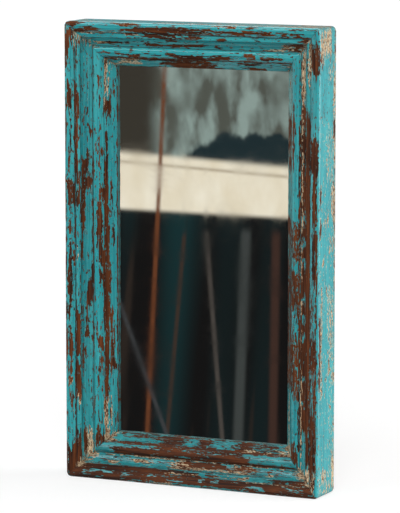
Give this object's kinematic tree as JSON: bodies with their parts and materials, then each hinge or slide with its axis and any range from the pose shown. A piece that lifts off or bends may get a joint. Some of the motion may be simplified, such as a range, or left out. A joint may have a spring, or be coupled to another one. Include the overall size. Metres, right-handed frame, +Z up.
{
  "type": "framed wall mirror",
  "caption": "Upright rectangular mirror in a deep mitred wooden frame with a coved, beaded front in worn turquoise paint, a plywood back and swinging D-ring hangers.",
  "frame": {"origin": "middle of the bottom of the whole mirror's box: on the floor, midway between the sides and midway in depth from the front to the felt bumpers", "axes": "+Z up, the mirror faces -Y, +X to the right of someone who looks into it"},
  "size_m": [0.45, 0.077, 0.75],
  "materials": {
    "painted_frame": "distressed turquoise paint over cream undercoat and red-brown wood, bare wood on the back",
    "painted_moulding": "distressed turquoise paint over cream undercoat and red-brown wood",
    "tongue_wood": "planed hardwood",
    "mirror": "silvered float glass",
    "card": "grey-brown board of pulp",
    "plywood": "plywood, sanded, no varnish",
    "block_rubber": "matt black",
    "screw_steel": "yellow zinc plate",
    "hanger_steel": "zinc plate, slightly dull",
    "felt": "pressed wool felt"
  },
  "bodies": {
    "frame": {"left_stile": "painted_frame", "right_stile": "painted_frame", "top_rail": "painted_frame", "bottom_rail": "painted_frame", "left_sight_moulding": "painted_moulding", "right_sight_moulding": "painted_moulding", "top_sight_moulding": "painted_moulding", "bottom_sight_moulding": "painted_moulding", "mitre_tongue_top_left": "tongue_wood", "mitre_tongue_top_right": "tongue_wood", "mitre_tongue_bottom_left": "tongue_wood", "mitre_tongue_bottom_right": "tongue_wood", "mirror_glass": "mirror", "backing_card": "card", "back_panel": "plywood", "setting_block_left": "block_rubber", "setting_block_right": "block_rubber", "moulding_screws": "screw_steel", "back_panel_screws": "screw_steel", "hanger_screws": "screw_steel", "left_hanger_strap": "hanger_steel", "right_hanger_strap": "hanger_steel", "wall_bumper_left": "felt", "wall_bumper_right": "felt"},
    "left_ring": {"left_hanger_ring": "hanger_steel"},
    "right_ring": {"right_hanger_ring": "hanger_steel"}
  },
  "joints": [
    {"name": "left_ring_swing", "type": "hinge", "parent": "frame", "child": "left_ring", "pos_m": [-0.2, 0.03438, 0.56], "axis": [1, 0, 0], "range_deg": [0, 175]},
    {"name": "right_ring_swing", "type": "hinge", "parent": "frame", "child": "right_ring", "pos_m": [0.2, 0.03438, 0.56], "axis": [1, 0, 0], "range_deg": [0, 175]}
  ]
}
